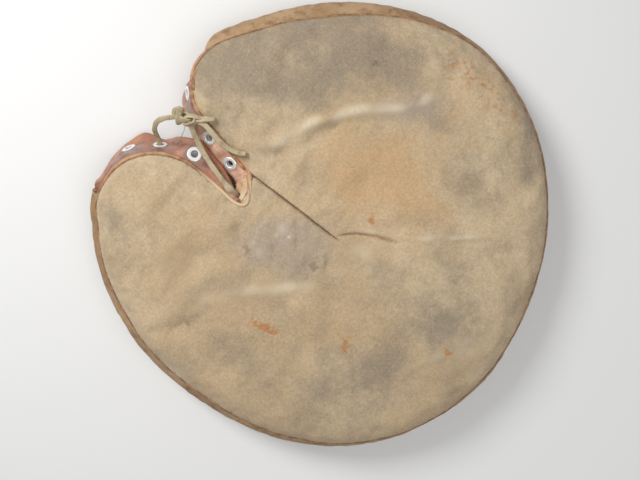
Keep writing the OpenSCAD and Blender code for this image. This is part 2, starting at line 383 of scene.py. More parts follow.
def build_body():
    """The stuffed pad as one closed mesh, whose material indices are the tags of its faces."""
    line = outline()
    loop, notch = line[:, :2], line[:, 2]
    start = loop[np.argmin(np.linalg.norm(loop - CROTCH, axis=1))]
    ys = np.arange(start[1], CREASE_END - 1, -3.6)[1:]
    crease = np.vstack([start, np.stack([crease_x(ys), ys], -1)])
    flat, tris, ring = triangulate(loop, crease)
    n_flat, n = len(flat), len(loop)

    front = np.column_stack([flat, face_height(flat, loop, crease)])
    front[:, 0] += bank_shift(flat, crease)
    away = smooth_loop(line_normals(loop), 3)
    away /= np.linalg.norm(away, axis=1)[:, None]

    points = [front]
    inset = seam_inset(np.degrees(np.arctan2(loop[:, 1], loop[:, 0])))
    for r in range(1, BAND_ROWS):
        t = r / BAND_ROWS
        bulge = 1 - abs(2 * t - 1) ** 2.3
        band = (inset + BACK_INSET) / 2 * bulge + (inset - BACK_INSET) * t
        out = band * (1 - notch) - (NOTCH_RECESS * bulge + NOTCH_SLOPE * t) * notch
        z = SEAM_Z + (BACK_SEAM_Z - SEAM_Z) * t
        points.append(np.column_stack([loop + away * out[:, None], np.full(n, z)]))
    back_out = (inset - BACK_INSET) * (1 - notch) - NOTCH_SLOPE * notch
    depth, foot, _ = nearest(flat, loop, True)
    ring_index = np.array([np.argmin(((loop - f) ** 2).sum(1)) for f in foot])
    spread = np.exp(-depth / 15)[:, None] * away[ring_index] * back_out[ring_index][:, None]
    back_z = BACK_SEAM_Z * (1 - np.clip(depth / 30, 0, 1)) ** 2 + LOWEST
    points.append(np.column_stack([flat + spread, back_z]))

    faces = list(tris)
    tags = [FACE] * len(faces)
    back_base = n_flat + (BAND_ROWS - 1) * n
    levels = [ring] + [[n_flat + r * n + k for k in range(n)] for r in range(BAND_ROWS - 1)]
    levels.append([back_base + k for k in ring])
    for upper, lower in zip(levels[:-1], levels[1:]):
        for k in range(n):
            j = (k + 1) % n
            faces.append((upper[k], lower[k], lower[j], upper[j]))
            lined = min(notch[k], notch[j]) > 0.98 and loop[k, 1] < LINING_END_Y
            tags.append(NOTCH if lined else BAND)
    faces += [tuple(back_base + k for k in reversed(f)) for f in tris]
    tags += [BACK] * len(tris)

    body = add_mesh("body", np.vstack(points), faces)
    for _ in (FACE, BAND, BACK, NOTCH):
        body.data.materials.append(None)
    body.data.polygons.foreach_set("material_index", tags)
    seams = [(chain[k], chain[(k + 1) % n]) for chain in (levels[0], levels[-1]) for k in range(n)]
    sharpen(body, seams)
    held = np.concatenate([1 - ease(nearest(flat, crease)[0], 6, 30),
                           np.tile(0.6 + 0.4 * notch, BAND_ROWS - 1), 0.4 + 0.6 * ease(depth, 20, 40)])
    held[levels[0]] = held[levels[-1]] = 1
    return body, held, loop, crease


def sharpen(obj, pairs):
    """Makes the edges between pairs of vertices hold their place when the mesh is subdivided."""
    pairs = {frozenset(pair) for pair in pairs}
    sharp = [0.75 if frozenset(edge.vertices) in pairs else 0.0 for edge in obj.data.edges]
    obj.data.attributes.new("crease_edge", "FLOAT", "EDGE").data.foreach_set("value", sharp)


def face_height(flat, loop, crease):
    """Height of the face over the plan: a crown that falls to the seam, and the fold's two banks."""
    t = np.clip(nearest(flat, loop, True)[0] / CROWN_REACH, 0, 1)
    z = SEAM_Z + CROWN * (1 - (1 - t) ** 2.4)
    gap = nearest(flat, crease)[0]
    side = flat[:, 0] - crease_x(flat[:, 1])
    round_bank = 1 - np.sqrt(1 - (1 - np.clip(gap / RIGHT_BANK, 0, 1)) ** 2)
    sharp_bank = np.exp(-(gap / LEFT_BANK) ** 2)
    deep = CREASE_DEPTH * ease(flat[:, 1], CREASE_END - 2, CREASE_END + 26)
    z -= deep * np.where(side > 0, round_bank, sharp_bank)
    sunk = LEFT_SINK * ease(flat[:, 1], -60, 40) * np.exp(-(side / SINK_REACH) ** 2)
    return z - np.where(side > 0, 0, sunk)


def bank_shift(flat, crease):
    """How far the right bank leans over the left one."""
    gap = nearest(flat, crease)[0]
    side = flat[:, 0] - crease_x(flat[:, 1])
    strength = ease(flat[:, 1], CREASE_END - 4, CREASE_END + 30)
    lean = np.where(side > 0.3, -1.5 * np.exp(-((gap - 1.6) / 1.6) ** 2), 0)
    tuck = np.where(abs(side) <= 0.3, 0.7, 0)
    return strength * (lean + tuck)


def slab(name, loop, crease, inset, low, high):
    """A layer inside the cover: between two heights given as functions of the face's height."""
    inner = resample(loop, STEP * 2)
    inner = resample(inner - line_normals(inner) * inset, STEP * 2)
    shorter = crease[crease[:, 1] < crease[0, 1] - inset]
    x = np.arange(inner[:, 0].min(), inner[:, 0].max(), STEP * 2)
    y = np.arange(inner[:, 1].min(), inner[:, 1].max(), STEP * 2)
    grid = np.array([(a, b) for b in y for a in x])
    rows = np.vstack([shorter[::2] + [side, 0] for side in (-9, -5, -2, 0, 2, 5, 9)])
    grid = np.vstack([grid[nearest(grid, shorter)[0] > 12], rows])
    flat, tris, edge = fill(inner, within(grid, inner, STEP))
    face = face_height(flat, loop, crease) + relief(flat)
    count = len(flat)
    top = np.column_stack([flat, high(face)])
    base = np.column_stack([flat, np.minimum(low(face), high(face) - 0.6)])
    faces = tris + [tuple(count + k for k in reversed(f)) for f in tris]
    for a, b in zip(edge, edge[1:] + edge[:1]):
        faces.append((a, count + a, count + b, b))
    return add_mesh(name, np.vstack([top, base]), faces)


def inflate(obj, held, pressure, cap, frames):
    """Cloth under inner pressure for some frames, with the seams and the fold held."""
    scene = bpy.context.scene
    rest = coords(obj)
    group = obj.vertex_groups.new(name="held")
    for level in np.unique(held.round(2)):
        group.add(np.nonzero(held.round(2) == level)[0].tolist(), float(level), "REPLACE")
    cloth = obj.modifiers.new("stuffing", "CLOTH")
    s = cloth.settings
    s.vertex_group_mass = "held"
    s.quality = 5
    s.mass = 0.3
    s.tension_stiffness = 40
    s.compression_stiffness = 25
    s.bending_stiffness = 3.0
    s.shrink_min = -0.02
    s.use_pressure = True
    s.uniform_pressure_force = pressure
    s.effector_weights.gravity = 0
    cloth.collision_settings.use_collision = False
    cloth.point_cache.frame_start, cloth.point_cache.frame_end = 1, frames
    for k in range(1, frames + 1):
        scene.frame_set(k)
    made = obj.evaluated_get(bpy.context.evaluated_depsgraph_get()).to_mesh()
    delta = vertex_values(made, "co") / MM - rest
    obj.modifiers.clear()
    scene.frame_set(1)
    size = np.linalg.norm(delta, axis=1)
    delta *= (np.minimum(size, cap) / np.maximum(size, 1e-9))[:, None]
    set_coords(obj, rest + delta)


def subdivide(obj):
    mod = obj.modifiers.new("smooth", "SUBSURF")
    mod.levels = mod.render_levels = 1
    bake_modifiers(obj)


# Folds and creases of the worn face: line, half width, height, how pale they are worn and painted as highlit,
# and how dark they are painted as shaded.
FOLDS = [
    ([(16, 106), (26, 89), (42, 76), (62, 72), (80, 62), (98, 51), (114, 37), (129, 23), (146, 14), (170, 4)],
     6.0, 2.8, 0.9, 0.0),
    ([(15, 93), (28, 77), (52, 64), (78, 53), (103, 34)], 6.0, -1.2, 0.0, 0.12),
    ([(5, -8), (11, -12), (18, -18), (25, -27), (31, -37), (37, -49), (42, -58)], 1.2, -1.9, 0.0, 0.0),
    ([(16, -11), (26, -22), (37, -39), (55, -64), (83, -94), (112, -123)], 3.2, 1.3, 0.5, 0.0),
    ([(-28, 67), (-48, 53), (-65, 33), (-66, 12)], 9.0, -2.6, 0.0, 0.1),
    ([(5, 36), (-11, 20), (-26, 4)], 3.5, -1.5, 0.0, 0.2),
    ([(-162, 68), (-134, 49), (-104, 34), (-80, 21), (-51, -7), (-28, -29)], 7.5, 1.2, 0.28, 0.0),
    ([(-170, 59), (-143, 40), (-115, 28)], 4.0, -1.6, 0.0, 0.35),
    ([(2, -12), (-12, -18), (-27, -25)], 3.0, -1.2, 0.0, 0.2),
    ([(11, -25), (10, -42), (0, -58)], 4.0, 1.1, 0.3, 0.0),
    ([(-49, -130), (-7, -148), (43, -171)], 5.0, 0.9, 0.3, 0.0),
    ([(96, 128), (128, 103), (152, 70)], 6.0, 0.9, 0.15, 0.0),
]
SECOND_CREASE = FOLDS[2][0]   # the sharp one


def fold_profile(points, line, width):
    """1 on the line and 0 away from it, fading at both ends."""
    line = spline(line, 6)
    gap, _, along = nearest(points, line)
    total = lengths(line)[-1]
    ends = ease(along, 0, total * 0.16) * (1 - ease(along, total * 0.8, total))
    return ends * np.exp(-(gap / width) ** 2)


def relief(flat):
    """Folds, ridges and dents of the worn face, as a rise over its plain crown."""
    uneven = 1 + 0.28 * ripple(flat, 24, 14)
    rise = uneven * sum(height * fold_profile(flat, line, width) for line, width, height, _, _ in FOLDS)
    rise += stain(flat, -27, 20, 40, 26, -43) * ripple(flat, 14, 15) * 0.5
    return rise + ripple(flat, 110, 11) * 0.9 + ripple(flat, 45, 12) * 0.35 + ripple(flat, 16, 13) * 0.1


def face_features(body):
    """The worn face's relief, and shallow puckers in the band and the back."""
    p = coords(body)
    tag = np.full(len(p), NOTCH)
    for poly in body.data.polygons:
        for v in poly.vertices:
            tag[v] = min(tag[v], poly.material_index)
    face, band, back = tag == FACE, tag == BAND, tag == BACK
    p[face, 2] += relief(p[face, :2])
    pucker = ripple(p[band], 60, 21) * 0.15 + ripple(p[band], 14, 22) * 0.1
    p[band] += vertex_values(body.data, "normal")[band] * pucker[:, None]
    p[back, 2] += np.maximum(ripple(p[back, :2], 80, 31) * 0.5 + ripple(p[back, :2], 30, 32) * 0.2, 0)
    p[:, 2] = np.maximum(p[:, 2], LOWEST)
    set_coords(body, p)


def piece_from(body, tag, name):
    """The body's faces of one tag as an object of their own."""
    faces = [tuple(f.vertices) for f in body.data.polygons if f.material_index == tag]
    return used_mesh(name, coords(body), faces)[0]


def seam_chain(body, tag):
    """Ordered points where the faces of a tag meet the band or the notch's lining."""
    sides = {}
    for f in body.data.polygons:
        v = list(f.vertices)
        for a, b in zip(v, v[1:] + v[:1]):
            sides.setdefault(frozenset((a, b)), []).append(f.material_index)
    link = {}
    for edge, tags in sides.items():
        if tag in tags and (BAND in tags or NOTCH in tags):
            a, b = edge
            link.setdefault(a, []).append(b)
            link.setdefault(b, []).append(a)
    start = next(iter(link))
    chain = [start]
    before = None
    while True:
        onward = [v for v in link[chain[-1]] if v != before]
        if onward[0] == start:
            break
        before = chain[-1]
        chain.append(onward[0])
    return coords(body)[chain]


# ---------------- facings, tab and lace

# The corners of the CAD walls' seam lines, which the facings' ribs start from.
WALL_L_C, WALL_L_R = np.array([-91.0, 120.0]), 60.0
WALL_R_C, WALL_R_R = np.array([50.0, 137.0]), 46.5
FACING_Z = 42.0       # height of the facings' seam line
FACING_ROWS = 17      # points down a rib
HOLE_CLEAR = 4.1      # the facing's hole round an eyelet's barrel
HOLE_DEPTH = 6.0
FLAT_IN, FLAT_OUT = 7.5, 12.5   # the facing is flat this near an eyelet, and free beyond
LACE_STEP = 1.1


def rib(foot, azimuth, slope, length, roll=0.0, curl=0.0):
    """A line down a facing, from a place on its seam.

    It falls with the slope given in the direction given, bulges out by its roll on the way, and its
    free end curls in.
    """
    return np.array(foot, float), azimuth, slope, length, roll, curl


def left_corner(inward, azimuth, *fall):
    """A rib from the left wall's rounded corner, or from this far inside it."""
    return rib(WALL_L_C + polar(WALL_L_R - inward, azimuth), *fall)


def right_corner(inward, azimuth, *fall):
    return rib(WALL_R_C + polar(WALL_R_R - inward, azimuth), *fall)


LEFT_RIBS = [
    left_corner(4.5, 105, 104, 78, 3),
    left_corner(2.5, 99, 98, 63, 10),
    left_corner(3, 92, 92, 72, 20),
    left_corner(1, 78, 78, 70, 34),
    left_corner(0, 63, 63, 69, 38, 0.0, -2.0),
    left_corner(0, 50, 50, 67, 38, 1.0, -5.0),
    left_corner(0, 38, 38, 69, 35),
    rib((-38.5, 149), 17, 46, 26, 0.8, 1.0),
    rib((-31, 137), 2, 22, 22.5, 0.6, 1.5),
    rib((-31, 131), 0, 16, 21.5, 0.0, 1.8),
    rib((-31, 117), 0, 16, 19.5, 0.6, 2.0),
    rib((-31, 104), 0, 16, 17, 0.6, 1.8),
    rib((-31, 92), 0, 17, 12.5, 0.4, 1.5),
    rib((-31, 80), 5, 22, 7.5, 0.2, 1.2),
    rib((-31, 75), 20, 26, 5, 0.2, 1.2),
]
RIGHT_RIBS = [
    right_corner(3, 108, 108, 60, 5),
    right_corner(2, 121, 121, 76, 22),
    right_corner(0, 137, 137, 69, 37),
    right_corner(0, 153, 153, 62, 31, 0.5, 1.0),
    rib((5.0, 147), 169, 48, 25, 1.2, 2.0),
    rib((3.5, 138), 178, 38, 23, 1.2, 2.5),
    rib((3.5, 131), 180, 35, 22, 0.0, 2.5),
    rib((3.5, 117), 180, 35, 26, 1.4, 3.2),
    rib((3.5, 103), 180, 35, 28, 0.6, 3.5),
    rib((2.0, 92), 178, 35, 27, 1.6, 3.5),
    rib((-2.5, 83), 168, 34, 23, 1.6, 3.0),
    rib((-6.5, 79), 150, 34, 18, 1.0, 2.5),
]
TAB_RIBS = [
    rib((-32, 77), 45, 34, 9),
    rib((-30.5, 71.5), 68, 31, 14),
    rib((-26, 66.8), 86, 30, 18),
    rib((-19.5, 69), 92, 30, 19),
    rib((-13.5, 73.5), 96, 30, 17),
    rib((-8.0, 77.5), 104, 31, 14),
    rib((-4.0, 81.5), 118, 34, 10),
]


def run_down(azimuth, slope):
    """Unit vectors down a slope and out of it."""
    a, s = math.radians(azimuth), math.radians(slope)
    down = np.array([math.cos(a) * math.cos(s), math.sin(a) * math.cos(s), -math.sin(s)])
    out = np.array([math.cos(a) * math.sin(s), math.sin(a) * math.sin(s), math.cos(s)])
    return down, out


def strip(ribs, loop):
    """Sheet through the ribs. Each rib starts at the face's seam and ends at its free edge."""
    lines = []
    for plan, azimuth, slope, length, roll, curl in ribs:
        down, out = run_down(azimuth, slope)
        foot = np.append(plan, FACING_Z)
        top = np.append(loop[np.argmin(((loop - plan) ** 2).sum(1))], SEAM_Z - 0.4)
        path = [top, foot + down * 3.5 + out * 0.2, foot + down * length * 0.5 + out * roll,
                foot + down * length * 0.82 + out * (roll * 0.6 - curl * 0.25),
                foot + down * length - out * curl]
        lines.append(arc(spline(path, 8), FACING_ROWS))
    lines = np.array(lines)
    return np.stack([spline(lines[:, k], 7) for k in range(FACING_ROWS)], 1)


def faces_up(points, faces):
    """The faces, all turned over if the first one looks down."""
    a, b, c = points[list(faces[0][:3])]
    return [f[::-1] for f in faces] if np.cross(b - a, c - a)[2] < 0 else faces


def used_mesh(name, points, faces):
    """An object of the faces and of the points that they use, and those points' numbers."""
    used = sorted({v for f in faces for v in f})
    place = {v: k for k, v in enumerate(used)}
    return add_mesh(name, points[used], [[place[v] for v in f] for f in faces]), used


def flatten(points, holes):
    """Moves the sheet onto each eyelet's plane near that eyelet."""
    for centre, normal in holes:
        off = points - centre
        height = off @ normal
        radius = np.linalg.norm(off - height[:, None] * normal, axis=1)
        pull = (1 - ease(radius, FLAT_IN, FLAT_OUT)) * (1 - ease(abs(height), 9, 14))
        points = points - (pull * height)[:, None] * normal
    return points


def near_hole(place, holes, clear):
    """Whether a place on the sheet falls in one of its holes."""
    for centre, normal in holes:
        off = place - centre
        height = off @ normal
        if np.linalg.norm(off - height * normal) < clear + 0.6 and abs(height) < HOLE_DEPTH:
            return True
    return False


def facing(name, ribs, loop, holes, seed, thickness=LEATHER, wrinkle=0.5, clear=HOLE_CLEAR):
    """Leather sheet through the ribs, wrinkled, flat round its holes and thickened."""
    grid = strip(ribs, loop)
    columns, rows = grid.shape[:2]
    points = grid.reshape(-1, 3)
    down_share = np.tile(np.linspace(0, 1, rows), columns)
    waves = ripple(points, 26, seed) * wrinkle + ripple(points, 9, seed + 1) * wrinkle * 0.35
    points = points + np.outer(waves * ease(down_share, 0.1, 0.5), [0.3, 0.3, 0.9])
    points = flatten(points, holes)
    starts = [k * rows + j for k in range(columns - 1) for j in range(rows - 1)]
    quads = [(a, a + 1, a + rows + 1, a + rows) for a in starts]
    faces = [quad for quad in quads if not near_hole(points[list(quad)].mean(0), holes, clear)]
    obj, used = used_mesh(name, points, faces_up(points, faces))
    paint(obj, pale=1 - ease(down_share[used], 0.02, 0.12), worn=ease(down_share[used], 0.62, 0.92))
    solidify(obj, thickness)
    return obj


def thong(name, path, width, thick, up=(0, 0, 1), turns=0.0, lean=0.0, taper=None):
    """Flat lace along a smooth curve, with a slight wander in its width."""
    line = spline(path, 14)
    line = arc(line, int(lengths(line)[-1] / LACE_STEP))
    t = np.linspace(0, 1, len(line))
    twist = lean + turns * 2 * math.pi * t + 0.12 * np.sin(t * 17)
    grow = 1 + 0.05 * np.sin(t * 23 + 1) + 0.03 * np.sin(t * 51)
    if taper is not None:
        grow = grow * np.interp(t, *taper)
    points, faces = sweep(line, flat_section(width, thick), up, twist, grow)
    return add_mesh(name, points, faces)


# ---------------- materials

def srgb(r, g, b):
    """Linear colour from 0 to 255 values."""
    c = np.array([r, g, b]) / 255
    return tuple(np.where(c <= 0.04045, c / 12.92, ((c + 0.055) / 1.055) ** 2.4)) + (1.0,)


class Nodes:
    """A new material, with short names for the shader nodes used below."""

    def __init__(self, name):
        self.material = bpy.data.materials.new(name)
        self.material.use_nodes = True
        self.tree = self.material.node_tree
        self.tree.nodes.clear()
        self.shader = self.tree.nodes.new("ShaderNodeBsdfPrincipled")
        out = self.tree.nodes.new("ShaderNodeOutputMaterial")
        self.put(self.shader.outputs[0], out.inputs["Surface"])
        self.place = self.make("TexCoord", "Object")

    def put(self, value, socket):
        """Links a socket to another, or sets its value."""
        if isinstance(value, bpy.types.NodeSocket):
            self.tree.links.new(value, socket)
        else:
            socket.default_value = value

    def make(self, kind, output, inputs=None, **settings):
        """A new node's output, after its settings are made and its inputs are filled."""
        node = self.tree.nodes.new("ShaderNode" + kind)
        for key, value in settings.items():
            setattr(node, key, value)
        for key, value in (inputs or {}).items():
            self.put(value, node.inputs[key])
        return node.outputs[output]

    def noise(self, scale, detail, rough, stretch=None):
        place = self.place
        if stretch:
            place = self.make("Mapping", 0, {"Vector": place, "Scale": stretch})
        inputs = {"Vector": place, "Scale": scale, "Detail": detail, "Roughness": rough}
        return self.make("TexNoise", "Fac", inputs)

    def cells(self, scale, feature="F1"):
        return self.make("TexVoronoi", "Distance", {"Vector": self.place, "Scale": scale}, feature=feature)

    def remap(self, value, low, high, to_low=0.0, to_high=1.0):
        return self.make("MapRange", 0, {"Value": value, "From Min": low, "From Max": high, "To Min": to_low,
                                         "To Max": to_high}, interpolation_type="SMOOTHSTEP")

    def math(self, operation, a, b):
        return self.make("Math", 0, {0: a, 1: b}, operation=operation)

    def mix(self, share, a, b, mode="MIX"):
        """Colour b over colour a by a share; the numbers are the node's colour sockets."""
        return self.make("Mix", 2, {0: share, 6: a, 7: b}, data_type="RGBA", blend_type=mode)

    def attribute(self, name):
        return self.make("Attribute", "Fac", attribute_name=name)

    def bump(self, height, distance, strength, after=None):
        """A surface normal from a height in millimetres, on top of an earlier normal."""
        inputs = {"Height": height, "Distance": distance * MM, "Strength": strength}
        if after is not None:
            inputs["Normal"] = after
        return self.make("Bump", 0, inputs)

    def finish(self, colour, roughness, normal=None, sheen=0.0, metallic=0.0, specular=0.4):
        """Sets the surface and returns the material."""
        inputs = {"Base Color": colour, "Roughness": roughness, "Metallic": metallic, "Sheen Weight": sheen,
                  "Specular IOR Level": specular, "Sheen Roughness": 0.6}
        if normal is not None:
            inputs["Normal"] = normal
        for key, value in inputs.items():
            self.put(value, self.shader.inputs[key])
        return self.material


def suede():
    """The face: buff suede, mottled, with stains, worn spots, painted shade and painted highlights stored as
    point attributes.
    """
    m = Nodes("face_suede")
    broad = m.noise(9, 3, 0.5)
    cloud = m.noise(24, 4, 0.55)
    patch = m.noise(60, 6, 0.7)
    mottle = m.noise(44, 5, 0.65)
    grain = m.noise(420, 4, 0.7)
    speck = m.noise(1100, 3, 0.7)
    colour = m.mix(m.remap(broad, 0.38, 0.62), srgb(186, 161, 126), srgb(200, 178, 144))
    colour = m.mix(m.remap(mottle, 0.42, 0.66, 0, 0.45), colour, srgb(178, 156, 124))

    def layer(name, noise, spread, low, high, strength, shade):
        """Adds a painted layer with a broken edge; the layers are stains, wear, painted shade and painted
        highlights.
        """
        amount = m.math("ADD", m.attribute(name), m.remap(noise, 0.35, 0.65, -spread, spread))
        return m.mix(m.remap(amount, low, high, 0, strength), colour, shade)

    clouds = m.math("ADD", m.math("MULTIPLY", cloud, 0.5), m.math("MULTIPLY", patch, 0.5))
    # grey: grey stains, and painted shade where the face is darker over the top right and along its far left
    # rim
    colour = layer("grey_stain_and_shade", clouds, 0.32, 0.05, 1.05, 0.92, srgb(146, 132, 112))
    colour = layer("warm", mottle, 0.2, 0.05, 1.0, 0.8, srgb(198, 163, 120))
    colour = layer("mauve", cloud, 0.12, 0.1, 1.0, 0.9, srgb(168, 151, 130))
    # pale: pale wear, and painted highlights on the worn glossy spots, along the left lobe's edge and on the
    # ridges
    colour = layer("pale", grain, 0.15, 0.15, 1.0, 0.75, srgb(216, 201, 174))
    # Painted shade and soil along the rim, stronger towards +X.
    colour = layer("rim_soil_and_shade", mottle, 0.3, 0.2, 1.3, 0.7, srgb(158, 132, 98))
    colour = layer("rust", m.noise(230, 3, 0.6), 0.35, 0.3, 0.75, 0.8, srgb(180, 120, 66))
    # dark: dark stains, and painted shade down the face's creases
    colour = layer("dark", m.noise(150, 3, 0.6), 0.25, 0.15, 0.95, 0.8, srgb(116, 100, 84))
    # Painted shadow in the fold's slit and along the second crease.
    colour = layer("crease_shadow", grain, 0.1, 0.25, 0.8, 0.95, srgb(132, 96, 58))
    colour = m.mix(m.remap(grain, 0.3, 0.7, 0, 0.3), colour, srgb(160, 138, 108), "MULTIPLY")
    colour = m.mix(m.remap(speck, 0.56, 0.74, 0, 0.4), colour, srgb(128, 108, 82))
    colour = m.mix(m.remap(speck, 0.44, 0.28, 0, 0.4), colour, srgb(232, 220, 196))
    shine = m.remap(m.attribute("shine"), 0.0, 1.0)
    rough = m.remap(shine, 0.0, 1.0, 0.92, 0.5)
    m.put(shine, m.shader.inputs["Coat Weight"])
    m.shader.inputs["Coat Roughness"].default_value = 0.28
    normal = m.bump(m.noise(700, 4, 0.75), 0.35, 0.5)
    normal = m.bump(mottle, 0.9, 0.35, normal)
    return m.finish(colour, rough, normal, sheen=0.12, specular=0.35)


def leather(name, base, pale, dark, rough):
    """Worn grain leather in three tones."""
    m = Nodes(name)
    broad = m.noise(22, 4, 0.55)
    mottle = m.noise(90, 5, 0.65)
    scuff = m.noise(160, 4, 0.7, stretch=(1, 1, 3))
    colour = m.mix(m.remap(broad, 0.35, 0.65), base, pale)
    colour = m.mix(m.remap(mottle, 0.45, 0.7, 0, 0.7), colour, dark)
    colour = m.mix(m.remap(scuff, 0.56, 0.72, 0, 0.5), colour, pale)
    pores = m.bump(m.cells(900, "SMOOTH_F1"), 0.25, 0.45)
    normal = m.bump(m.noise(130, 4, 0.6), 0.7, 0.35, pores)
    return m.finish(colour, m.remap(mottle, 0.3, 0.7, rough - 0.08, rough + 0.12), normal)


def facing_skin():
    """Mauve-brown glazed leather, tan along its seam, orange where its free edge is scuffed, and a paler
    pinkish tan where painted light is laid on.
    """
    m = Nodes("facing_leather")
    broad = m.noise(30, 4, 0.55)
    mottle = m.noise(110, 5, 0.65)
    colour = m.mix(m.remap(broad, 0.4, 0.6), srgb(164, 108, 82), srgb(146, 116, 104))
    colour = m.mix(m.remap(mottle, 0.44, 0.66, 0, 0.85), colour, srgb(104, 68, 54))
    # Painted light: paler pinkish tan where the facing is painted as lit.
    colour = m.mix(m.math("MULTIPLY", m.attribute("light"), m.remap(mottle, 0.3, 0.7, 0.9, 0.4)), colour,
                   srgb(228, 184, 156))
    pale = m.math("ADD", m.attribute("pale"), m.remap(mottle, 0.35, 0.65, -0.3, 0.3))
    colour = m.mix(m.remap(pale, 0.3, 0.8, 0, 0.9), colour, srgb(190, 145, 106))
    scuff = m.math("MULTIPLY", m.math("ADD", broad, mottle), 0.5)
    worn = m.math("ADD", m.attribute("worn"), m.remap(scuff, 0.38, 0.62, -0.9, 0.3))
    colour = m.mix(m.remap(worn, 0.1, 0.9, 0, 0.85), colour, srgb(192, 124, 82))
    rough = m.remap(mottle, 0.3, 0.7, 0.3, 0.5)
    normal = m.bump(m.cells(800, "SMOOTH_F1"), 0.2, 0.35)
    normal = m.bump(m.noise(150, 4, 0.6), 0.8, 0.45, normal)
    return m.finish(colour, rough, normal, specular=0.5)


def welt_skin():
    """Brown welt round the rim, and a tan one along the notch."""
    m = Nodes("welt_leather")
    mottle = m.noise(120, 5, 0.65)
    rim_tone = m.mix(m.remap(mottle, 0.4, 0.6), srgb(158, 120, 82), srgb(122, 88, 58))
    notch_tone = m.mix(m.remap(mottle, 0.4, 0.62), srgb(184, 142, 104), srgb(138, 96, 68))
    colour = m.mix(m.attribute("notch"), rim_tone, notch_tone)
    colour = m.mix(m.attribute("pale"), colour, srgb(206, 180, 144))
    return m.finish(colour, 0.62, m.bump(mottle, 0.5, 0.4))


def metal():
    """Dull worn nickel."""
    m = Nodes("dull_nickel")
    wear = m.noise(500, 4, 0.6)
    colour = m.mix(m.remap(wear, 0.4, 0.7), srgb(244, 245, 244), srgb(206, 203, 196))
    rough = m.remap(wear, 0.3, 0.7, 0.3, 0.55)
    return m.finish(colour, rough, m.bump(wear, 0.08, 0.4), metallic=0.45)


def cloth(name, base, dark, scale):
    """Plain weave, or with a low scale a pressed or loose fibre."""
    m = Nodes(name)
    weave = m.cells(scale)
    tone = m.noise(120, 4, 0.6)
    colour = m.mix(m.remap(tone, 0.35, 0.65), base, dark)
    return m.finish(colour, 0.95, m.bump(weave, 0.3, 0.5), sheen=0.2)


def stain(points, x, y, rx, ry, turn=0.0, power=2.0):
    """A soft oval patch."""
    c, s = math.cos(math.radians(turn)), math.sin(math.radians(turn))
    dx, dy = points[:, 0] - x, points[:, 1] - y
    u, v = (dx * c + dy * s) / rx, (dy * c - dx * s) / ry
    return np.exp(-((u * u + v * v) ** (power / 2)))


def paint(obj, **layers):
    """Stores values from 0 to 1 at a mesh's points, for its material to read."""
    for name, values in layers.items():
        layer = obj.data.attributes.new(name, "FLOAT", "POINT")
        layer.data.foreach_set("value", np.clip(values, 0, 1).astype(np.float32))


# ---------------- looks of the face

# Stains of each kind: strength, x, y, the two radii, turn in degrees, and a power that flattens the middle.
STAINS = {
    # grey: grey stains; the broad patch over the top right and the one along the far left rim are painted
    # shade
    "grey_stain_and_shade": [(0.5, 51, 153, 27, 18, -48), (0.62, 96, 118, 100, 48, -40, 4), (0.45, 143, 70, 38, 18, -58),
             (0.5, 117, -54, 27, 21, -48), (0.5, 175, -80, 13, 41, -48), (0.65, 7, -128, 27, 18, -38),
             (0.7, -54, -114, 30, 21, -48), (0.4, -104, -90, 67, 19, -48), (0.35, -129, -2, 31, 13, -78),
             (0.35, 53, -121, 28, 46, -48), (0.35, 121, 130, 16, 10, -48), (0.4, -180, 40, 60, 12, 100),
             (0.35, -112, 152, 40, 34, 40), (0.4, 140, 2, 30, 18, -60)],
    "mauve": [(1.1, -27, 18, 44, 29, -43, 3), (0.35, -4, -34, 31, 15, -48), (0.4, -23, -34, 8, 6),
              (0.75, 128, 20, 44, 17, -44)],
    "warm": [(1.05, 72, -7, 62, 39, -58), (0.45, -49, -68, 23, 21, -48), (0.35, -70, 85, 31, 31, -48),
             (0.5, 182, -12, 31, 36, -48)],
    # pale: the first three spots are painted highlights on the worn glossy patch, the rest pale wear
    "pale": [(0.55, -19.5, 31, 4, 7, -48), (0.45, -47.5, 32, 4, 6, -48), (0.3, -16, 1, 8, 4),
             (0.5, -63, 2, 44, 6, -42), (0.5, -183, 18, 21, 13, -48), (0.45, 13, -34, 18, 9, -48),
             (0.3, 7, -162, 31, 26, -48), (0.25, -104, 76, 36, 31, -48)],
    "rust": [(0.95, -93, -18, 17, 4, -78), (0.85, -58, -78, 4, 7, -48), (0.8, -4, -150, 4, 4),
             (0.85, 39, -22, 4, 4), (0.27, 187, -26, 15, 56), (0.16, 182, 10, 12, 18)],
    "dark": [(0.55, -28, -12, 16, 5), (0.45, -54, 39, 4, 8, -20), (0.85, 139, 66, 4, 3, -48)],
    "shine": [(1.0, -20, 29, 5, 7, -48), (0.6, -47.5, 32, 5, 6, -48), (0.4, -24, 25, 30, 19, -48),
              (0.6, 126, 26, 34, 8, -44)],
}
ALL_OVER_GREY = 0.22


